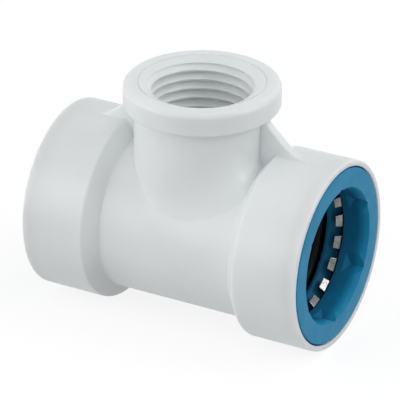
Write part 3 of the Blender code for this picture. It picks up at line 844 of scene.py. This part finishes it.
class TEE_OT_grab_rings(bpy.types.Operator):
    """Build the grab rings: a flat rim, and teeth bent inwards"""

    bl_idname = "tee.grab_rings"
    bl_label = "Grab rings"

    def execute(self, context):
        rings = context.scene.tee_rings
        outer = GRAB_SPAN[2]
        root = outer - rings.grab_rim
        top, end = -GRAB_SPAN[0], -GRAB_SPAN[0] - rings.grab_thickness
        rim_profile = [(outer, top), (outer, end), (root, end), (root, top)]
        spread = np.linspace(-1, 1, 9)
        turns = rings.tooth_phase + 2 * np.pi * np.arange(rings.tooth_count) / rings.tooth_count
        steel = finishes()["stainless_steel"]
        for side in SIDES:
            rim = ring_piece(f"grab_ring_{side}_rim", rim_profile, side)
            soften(rim, rings.grab_soft, limit=40)
            shade(rim, RING_SHARP)
            hand_over(rim, steel, f"grip_{side}", f"grab_ring_{side}")
            for number, turn in enumerate(turns):
                points = tooth_points(rings, turn, spread)
                faces = grid_faces(*points.shape[:2], column_loop=False).tolist()
                tooth = new_piece(f"grab_ring_{side}_tooth_{number + 1}", in_socket(points, side), faces)
                sheet = tooth.modifiers.new("sheet", "SOLIDIFY")
                sheet.thickness = rings.grab_thickness
                sheet.offset = 0.0
                sheet.use_even_offset = True
                evaluated(tooth)
                soften(tooth, rings.grab_soft, limit=60)
                shade(tooth, RING_SHARP)
                hand_over(tooth, steel, None, f"grab_ring_{side}")
                reach = np.array([root, rings.tooth_bend])
                middle = np.full(2, (top + end) / 2)
                ends = np.column_stack([reach * np.cos(turn), reach * np.sin(turn), middle])
                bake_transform(tooth)
        return {"FINISHED"}


class TEE_OT_retaining_clips(bpy.types.Operator):
    """Build the split retaining clips behind the collars"""

    bl_idname = "tee.retaining_clips"
    bl_label = "Retaining clips"

    def execute(self, context):
        rings = context.scene.tee_rings
        top, end, outer = CLIP_SPAN
        corner = rings.clip_corner
        near, far = rings.clip_inner + corner, outer - corner
        high, low = -top - corner, -end + corner
        section = np.vstack([
            arc((far, high), corner, 90, 0, 3),
            arc((far, low), corner, 0, -90, 3),
            arc((near, low), corner, -90, -180, 3),
            arc((near, high), corner, 180, 90, 3),
        ])
        half_gap = math.asin(rings.clip_gap / 2 / rings.clip_inner)
        turn = np.linspace(half_gap, 2 * np.pi - half_gap, 121)[:, None]
        radius, height = section.T
        rows, columns = len(turn), len(section)
        heights = np.broadcast_to(height, (rows, columns))
        points = np.stack([radius * np.cos(turn), radius * np.sin(turn), heights], axis=-1)
        last = (rows - 1) * columns
        ends = [list(range(columns)), list(range(last, last + columns))]
        faces = grid_faces(rows, columns).tolist() + ends
        for side in SIDES:
            clip = new_piece(f"clip_{side}_spring", in_socket(points, side), faces)
            shade(clip, RING_SHARP)
            hand_over(clip, finishes()["spring_steel"], "body",
                      f"retaining_clip_{side}")
        return {"FINISHED"}


class TEE_OT_spacer_rings(bpy.types.Operator):
    """Build the blue spacer rings behind the teeth"""

    bl_idname = "tee.spacer_rings"
    bl_label = "Spacer rings"

    def execute(self, context):
        rings = context.scene.tee_rings
        top, end, outer = SPACER_SPAN
        cone = GRAB_SPAN[2] - rings.grab_rim
        profile = [(outer, -top), (outer, -end), (rings.spacer_bore, -end),
                   (rings.spacer_bore, rings.spacer_land - end), (cone, -top)]
        for side in SIDES:
            spacer = ring_piece(f"spacer_{side}_moulding", profile, side)
            soften(spacer, rings.spacer_soft, limit=25)
            shade(spacer, RING_SHARP)
            hand_over(spacer, finishes()["blue_moulding"], "body",
                      f"spacer_ring_{side}")
        return {"FINISHED"}


class TEE_OT_o_rings(bpy.types.Operator):
    """Build the rubber O-rings"""

    bl_idname = "tee.o_rings"
    bl_label = "O-rings"

    def execute(self, context):
        top, end, outer = O_RING_SPAN
        section = (end - top) / 2
        centre = (outer - section, -(top + end) / 2)
        profile = arc(centre, section, 360, 0, 32)[:-1]
        for side in SIDES:
            ring = ring_piece(f"o_ring_{side}_rubber", profile, side)
            shade(ring, RUBBER_SHARP)
            hand_over(ring, finishes()["black_rubber"], "body", f"o_ring_{side}")
        return {"FINISHED"}


def aim(location, target):
    """Turn and place that point an object's -Z axis from a location at a target."""
    turn = (Vector(target) - Vector(location)).to_track_quat("-Z", "Y")
    return Matrix.Translation(location) @ turn.to_matrix().to_4x4()


def softbox(name, direction, size, strength):
    """A square lamp: its power gives the strength as a white surface's brightness at its distance."""
    data = bpy.data.lights.new(name, "AREA")
    data.size = size
    data.energy = strength * math.pi ** 2 * LAMP_DISTANCE ** 2
    lamp = bpy.data.objects.new(name, data)
    target = Vector((0.0, 0.0, AXIS_HEIGHT))
    lamp.matrix_world = aim(target + direction.normalized() * LAMP_DISTANCE, target)
    bpy.context.scene.collection.objects.link(lamp)


def seen_rays(nodes):
    """1 for camera, mirror and glass rays, and 0 for light that only fills the scene."""
    rays = [nodes.node("ShaderNodeLightPath", output=name)
            for name in ("Is Camera Ray", "Is Glossy Ray", "Is Transmission Ray")]
    return rays[0] + rays[1] + rays[2]


def floor_finish(grey):
    """Pale floor: a plain grey for the light, and white with the tee's shadow for what is seen."""
    finish = Finish("stage_floor")
    finish.set(Base_Color=(grey, grey, grey, 1.0), Roughness=0.9, Specular_IOR_Level=0.0)
    shadow_colour = (SEEN_FLOOR_GREY, SEEN_FLOOR_GREY, SEEN_FLOOR_GREY, 1.0)
    shadow = finish.node("ShaderNodeBsdfDiffuse", None, {"Color": shadow_colour})
    glow = finish.node("ShaderNodeEmission", None, {"Strength": SEEN_FLOOR_GLOW})
    seen = finish.node("ShaderNodeAddShader", None, {0: shadow, 1: glow})
    plain = Field(finish, finish.shader.outputs[0])
    mixed = finish.node("ShaderNodeMixShader", None, {0: seen_rays(finish), 1: plain, 2: seen})
    finish.feed(finish.tree.nodes["Material Output"].inputs["Surface"], mixed)
    return finish.material


def light_world(ambient):
    """Even light from all round, with a white backdrop for what is seen."""
    world = bpy.data.worlds.new("studio")
    world.use_nodes = True
    bpy.context.scene.world = world
    sky = Nodes(world.node_tree)
    limits = {"Value": seen_rays(sky), "To Min": ambient, "To Max": 1.0}
    background = sky.tree.nodes["Background"]
    sky.feed(background.inputs["Color"], (1.0, 1.0, 1.0, 1.0))
    sky.feed(background.inputs["Strength"], sky.node("ShaderNodeMapRange", None, limits))


def photo_camera(studio):
    """Camera at the photograph's angle: right, up and back vectors from azimuth, elevation and roll."""
    sin_a, cos_a = math.sin(studio.azimuth), math.cos(studio.azimuth)
    sin_e, cos_e = math.sin(studio.elevation), math.cos(studio.elevation)
    back = Vector((sin_a * cos_e, -cos_a * cos_e, sin_e))
    level_right = Vector((cos_a, sin_a, 0.0))
    level_up = back.cross(level_right)
    right = level_right * math.cos(studio.roll) + level_up * math.sin(studio.roll)
    up = level_up * math.cos(studio.roll) - level_right * math.sin(studio.roll)
    crossing = Vector((0.0, 0.0, AXIS_HEIGHT))
    eye = crossing - right * studio.aim_right - up * studio.aim_up + back * studio.distance
    data = bpy.data.cameras.new("photo_camera")
    data.lens = studio.lens
    data.sensor_width = SENSOR_WIDTH_MM
    data.clip_start = 0.01
    camera = bpy.data.objects.new("photo_camera", data)
    camera.matrix_world = Matrix.Translation(eye) @ Matrix((right, up, back)).transposed().to_4x4()
    bpy.context.scene.collection.objects.link(camera)
    bpy.context.scene.camera = camera
    return right, back


class TEE_OT_stage(bpy.types.Operator):
    """Set the floor, the light and the camera"""

    bl_idname = "tee.stage"
    bl_label = "Stage"

    def execute(self, context):
        studio = context.scene.tee_studio
        context.scene.view_settings.view_transform = "Standard"
        right, back = photo_camera(studio)
        forward = Vector((back.x, back.y, 0.0)).normalized()
        up = Vector((0.0, 0.0, 1.0))
        softbox("key", -right * 0.9 + forward * 0.5 + up * 0.3, 0.9, studio.key)
        softbox("left", -right + up * 0.2, 0.9, studio.left)
        softbox("top", up + right * 0.5 - forward * 0.1, 0.7, studio.top)
        softbox("side", right * 0.79 + forward * 0.26 + up * 0.55, 0.4, studio.side)
        softbox("rim", right * 0.7 - forward * 0.8 + up * 0.45, 0.9, studio.rim)
        softbox("front", forward * 0.8 + up, 0.7, studio.front)
        light_world(studio.ambient)
        span = FLOOR_HALF_WIDTH
        corners = [(-span, -span, 0.0), (span, -span, 0.0), (span, span, 0.0), (-span, span, 0.0)]
        floor = new_piece("stage_floor", corners, [[0, 1, 2, 3]])
        floor.data.materials.append(floor_finish(studio.floor_grey))
        return {"FINISHED"}


class TEE_PT_panel(bpy.types.Panel):
    """List the steps that build the tee"""

    bl_label = "Pipe tee"
    bl_idname = "TEE_PT_panel"
    bl_space_type = "VIEW_3D"
    bl_region_type = "UI"
    bl_category = "Pipe Tee"

    def draw(self, context):
        for step in STEPS:
            self.layout.operator(step.bl_idname)


GROUPS = {
    "tee_body": TeeBodySizes,
    "tee_rings": TeeRingSizes,
    "tee_finishes": TeeFinishes,
    "tee_studio": TeeStudio,
}
STEPS = (
    TEE_OT_stage,
    TEE_OT_moulded_body,
    TEE_OT_release_collars,
    TEE_OT_grab_rings,
    TEE_OT_retaining_clips,
    TEE_OT_spacer_rings,
    TEE_OT_o_rings,
)


def register():
    """Register the settings, the steps and the panel."""
    for cls in (*GROUPS.values(), *STEPS, TEE_PT_panel):
        bpy.utils.register_class(cls)
    for name, group in GROUPS.items():
        setattr(bpy.types.Scene, name, PointerProperty(type=group))


def unregister():
    """Undo register."""
    for name in GROUPS:
        delattr(bpy.types.Scene, name)
    for cls in reversed((*GROUPS.values(), *STEPS, TEE_PT_panel)):
        bpy.utils.unregister_class(cls)


def main():
    register()
    bpy.ops.tee.stage()
    bpy.ops.tee.moulded_body()
    bpy.ops.tee.release_collars()
    bpy.ops.tee.grab_rings()
    bpy.ops.tee.retaining_clips()
    bpy.ops.tee.spacer_rings()
    bpy.ops.tee.o_rings()


if __name__ == "__main__":
    main()
